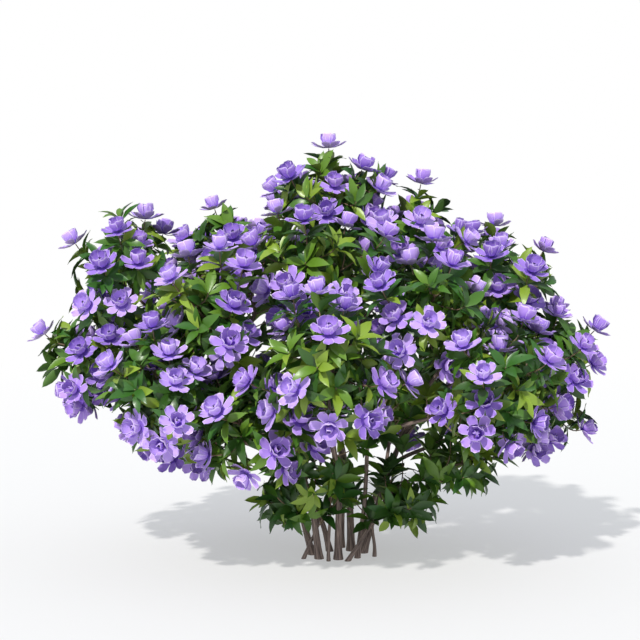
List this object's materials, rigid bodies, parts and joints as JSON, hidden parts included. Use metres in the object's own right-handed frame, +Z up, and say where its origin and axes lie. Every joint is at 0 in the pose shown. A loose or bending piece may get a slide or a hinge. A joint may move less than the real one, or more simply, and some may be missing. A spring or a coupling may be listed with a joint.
{
  "type": "azalea shrub",
  "caption": "Flowering azalea shrub: slender tapering stems fork into boughs that carry masses of leafy twigs with double flowers, fixed to the ground by its foot.",
  "frame": {"origin": "centre of the flat cut under the main stem, on the ground", "axes": "+Z up, +X to the right as seen from the front, -Y towards the front"},
  "size_m": [1.2458, 1.0394, 0.9075],
  "materials": {
    "bark": "dull grey-brown bark with fine fissures",
    "twig": "young brown-green bark",
    "leaf": "slightly glossy leaf green",
    "petal": "soft matt lilac petal",
    "flowering_shoots": "lilac flowers among green leaves"
  },
  "bodies": {
    "root": {"main_stem": "bark", "centre_stem": "bark", "front_left_stem": "bark", "left_stem": "bark", "right_stem": "bark", "front_right_stem": "bark", "side_arm_stem": "bark", "right_sucker": "bark", "left_sucker": "bark", "inner_sucker": "bark", "back_left_stem": "bark", "back_stem": "bark", "back_right_stem": "bark", "bough_crest_front": "bark", "bough_crest_right": "bark", "bough_crest_back": "bark", "bough_front_left": "bark", "bough_low_front": "bark", "bough_left": "bark", "bough_low_left": "bark", "bough_crest_left": "bark", "bough_right": "bark", "bough_low_right": "bark", "bough_front_right": "bark", "bough_upper_back_left": "bark", "bough_low_back": "bark", "bough_low_back_right": "bark", "bough_upper_back_right": "bark", "spire": "flowering_shoots", "crest_right": "flowering_shoots", "crest_left": "flowering_shoots", "crest_back": "flowering_shoots", "crest_front": "flowering_shoots", "upper_right": "flowering_shoots", "upper_back_right": "flowering_shoots", "upper_back_left": "flowering_shoots", "upper_left": "flowering_shoots", "upper_front_left": "flowering_shoots", "upper_front_right": "flowering_shoots", "front": "flowering_shoots", "right": "flowering_shoots", "back_right": "flowering_shoots", "back": "flowering_shoots", "back_left": "flowering_shoots", "left": "flowering_shoots", "front_left": "flowering_shoots", "front_right": "flowering_shoots", "low_left": "flowering_shoots", "low_right": "flowering_shoots", "low_front_left": "flowering_shoots", "low_back": "flowering_shoots", "low_back_right": "flowering_shoots", "left_spray": "leaf", "right_spray": "leaf", "side_arm": "leaf", "inner_spray": "leaf"}
  },
  "joints": []
}
